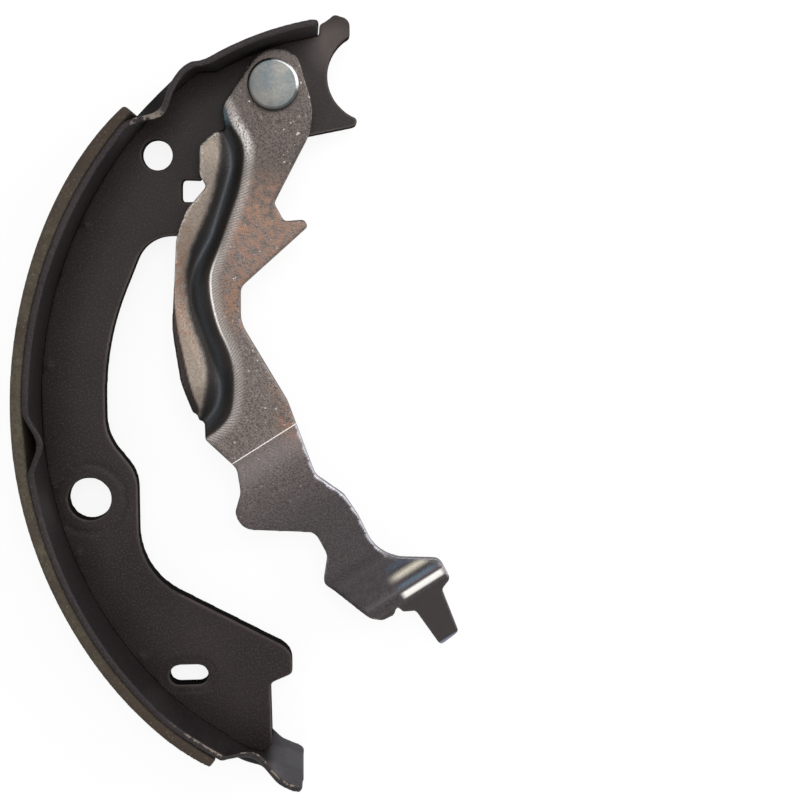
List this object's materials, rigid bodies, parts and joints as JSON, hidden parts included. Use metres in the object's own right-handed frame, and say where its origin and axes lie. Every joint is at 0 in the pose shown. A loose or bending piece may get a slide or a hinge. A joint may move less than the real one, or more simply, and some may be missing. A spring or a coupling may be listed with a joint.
{
  "type": "brake shoe",
  "caption": "Left drum-in-hat parking brake shoe: T-section steel shoe with bonded lining and a pressed operating lever on a headed pin.",
  "frame": {"origin": "on the axis of the drum that the lining meets, at the web's mid plane", "axes": "+Z along the drum axis, towards the lever's side; +Y towards the anchor end; the shoe lies on the -X side"},
  "size_m": [0.1043, 0.1832, 0.0249],
  "materials": {
    "lining": "matt moulded friction material, olive brown",
    "shoe_paint": "thin satin black-brown paint over steel",
    "zinc_plate": "zinc plate, tumbled, with faint rust bloom",
    "pin_zinc": "bluish zinc plate",
    "spring_steel": "dark spring steel"
  },
  "bodies": {
    "shoe": {"lining": "lining", "table": "shoe_paint", "web": "shoe_paint", "pivot_pin": "pin_zinc", "spacer_washer": "zinc_plate", "retaining_ring": "spring_steel"},
    "operating_lever": {"lever": "zinc_plate"}
  },
  "joints": [
    {"name": "lever_pivot", "type": "hinge", "parent": "shoe", "child": "operating_lever", "pos_m": [-0.04483, 0.0755, 0.00625], "axis": [0, 0, 1], "range_deg": [-8, 20]}
  ]
}
